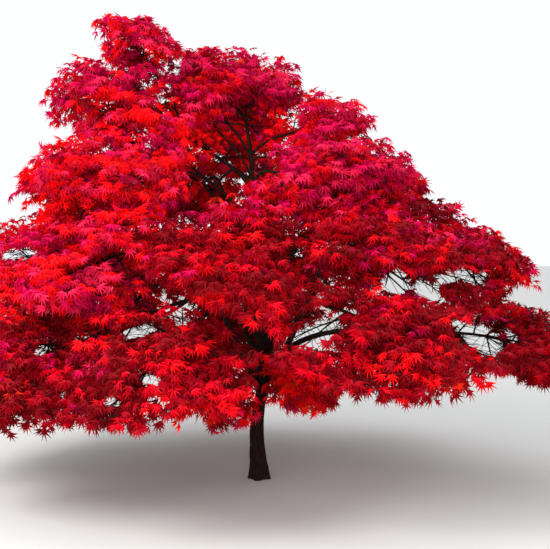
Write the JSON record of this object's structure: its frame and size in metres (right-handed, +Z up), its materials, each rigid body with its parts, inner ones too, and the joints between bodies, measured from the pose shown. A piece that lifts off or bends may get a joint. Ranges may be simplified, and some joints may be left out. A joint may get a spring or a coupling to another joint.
{
  "type": "japanese maple tree",
  "caption": "Low-forked maple in red autumn leaf: leaning trunk with root flare, arching boughs and a broad domed crown of separate leaf masses, cut flat at ground level.",
  "frame": {"origin": "middle of the flat cut under the trunk, at ground level", "axes": "+Z up the tree, +X to its right as seen from the front, which is -Y"},
  "size_m": [4.7869, 3.9753, 3.2614],
  "materials": {
    "bark": "rough dark brown-grey bark",
    "leaves": "satin crimson autumn leaves"
  },
  "bodies": {
    "root": {"trunk": "bark", "bough_east": "bark", "bough_northeast": "bark", "bough_north": "bark", "bough_northwest": "bark", "bough_west": "bark", "bough_southwest": "bark", "bough_south": "bark", "bough_southeast": "bark", "limb_skirt_east": "bark", "limb_skirt_northeast": "bark", "limb_skirt_north": "bark", "limb_skirt_northwest": "bark", "limb_skirt_west": "bark", "limb_skirt_southwest": "bark", "limb_skirt_south": "bark", "limb_skirt_southeast": "bark", "limb_upper_1": "bark", "limb_upper_2": "bark", "limb_upper_3": "bark", "limb_upper_4": "bark", "limb_upper_5": "bark", "limb_upper_6": "bark", "stem_left": "bark", "limb_top_left": "bark", "limb_top_right": "bark", "limb_top_back": "bark", "limb_low_left": "bark", "limb_low_right": "bark", "foliage_shoulder_east": "leaves", "foliage_shoulder_northeast": "leaves", "foliage_shoulder_north": "leaves", "foliage_shoulder_northwest": "leaves", "foliage_shoulder_west": "leaves", "foliage_shoulder_southwest": "leaves", "foliage_shoulder_south": "leaves", "foliage_shoulder_southeast": "leaves", "foliage_skirt_east": "leaves", "foliage_skirt_northeast": "leaves", "foliage_skirt_north": "leaves", "foliage_skirt_northwest": "leaves", "foliage_skirt_west": "leaves", "foliage_skirt_southwest": "leaves", "foliage_skirt_south": "leaves", "foliage_skirt_southeast": "leaves", "foliage_upper_1": "leaves", "foliage_upper_2": "leaves", "foliage_upper_3": "leaves", "foliage_upper_4": "leaves", "foliage_upper_5": "leaves", "foliage_upper_6": "leaves", "foliage_crest": "leaves", "foliage_top": "leaves", "foliage_top_left": "leaves", "foliage_top_right": "leaves", "foliage_top_back": "leaves", "foliage_low_left": "leaves", "foliage_low_right": "leaves"}
  },
  "joints": []
}
